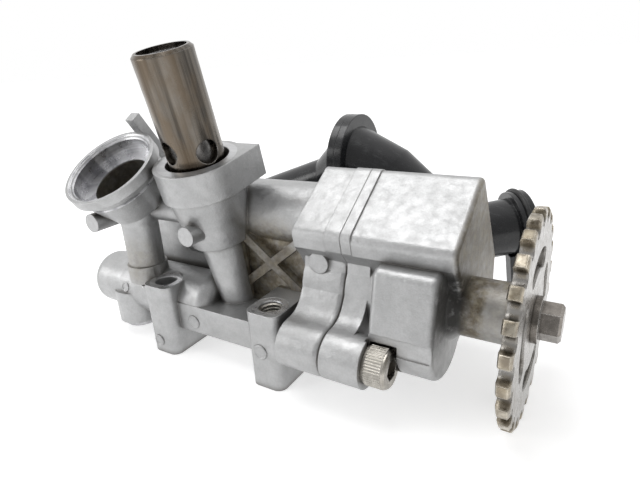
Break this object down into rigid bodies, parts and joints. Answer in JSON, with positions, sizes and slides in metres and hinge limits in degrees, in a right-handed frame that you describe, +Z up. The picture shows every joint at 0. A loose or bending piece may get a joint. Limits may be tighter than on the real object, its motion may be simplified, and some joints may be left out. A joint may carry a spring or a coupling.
{
  "type": "engine oil pump",
  "caption": "Chain-driven engine oil pump: die-cast housing with gerotor set, relief valve, inlet cup and black suction pipe.",
  "frame": {"origin": "on the foot plane, midway between the two front mounting holes", "axes": "+X along the drive shaft towards the sprocket, +Y away from the front mounting bosses, +Z up from the feet"},
  "size_m": [0.1473, 0.0985, 0.0913],
  "materials": {
    "cast_aluminium": "bead-blasted die casting",
    "sleeve_steel": "ground and oil-stained",
    "piston_steel": "ground",
    "spring_steel": "drawn wire",
    "sprocket_steel": "blanked, teeth worn to a brassy tint",
    "bolt_steel": "zinc plated",
    "screw_steel": "zinc plated",
    "shaft_steel": "ground",
    "rotor_steel": "sintered",
    "bush_bronze": "plain bearing",
    "pipe_plastic": "moulded, satin",
    "mesh_steel": "woven wire",
    "seal_rubber": "matte"
  },
  "bodies": {
    "housing": {"pump_body": "cast_aluminium", "pump_cover": "cast_aluminium", "locating_dowels": "shaft_steel", "cover_screws": "screw_steel", "shaft_bushes": "bush_bronze", "relief_sleeve": "sleeve_steel", "relief_spring": "spring_steel", "spring_seat": "piston_steel", "seat_clip": "spring_steel", "valve_o_ring": "seal_rubber", "gallery_plug": "shaft_steel", "strainer_outlet": "pipe_plastic", "strainer_inlet": "pipe_plastic", "strainer_mesh": "mesh_steel", "spigot_o_ring": "seal_rubber"},
    "drive_line": {"drive_shaft": "shaft_steel", "drive_pin": "shaft_steel", "inner_rotor": "rotor_steel", "sprocket": "sprocket_steel", "sprocket_bolt": "bolt_steel"},
    "rotor_ring": {"outer_rotor": "rotor_steel"},
    "valve_piston": {"relief_piston": "piston_steel"}
  },
  "joints": [
    {"name": "shaft_spin", "type": "hinge", "parent": "housing", "child": "drive_line", "pos_m": [0, 0.0167, 0.026], "axis": [1, 0, 0], "continuous": true},
    {"name": "ring_spin", "type": "hinge", "parent": "housing", "child": "rotor_ring", "pos_m": [0, 0.0175, 0.02651], "axis": [1, 0, 0], "continuous": true},
    {"name": "piston_slide", "type": "slide", "parent": "housing", "child": "valve_piston", "axis": [0, -0.225, 0.9744], "range_m": [0, 0.006], "stiffness_N_per_m": 3000, "springref_m": -0.004, "deforming": ["relief_spring"]}
  ],
  "couplings": [
    {"joint": "ring_spin", "follows": "shaft_spin", "ratio": 0.85714}
  ]
}
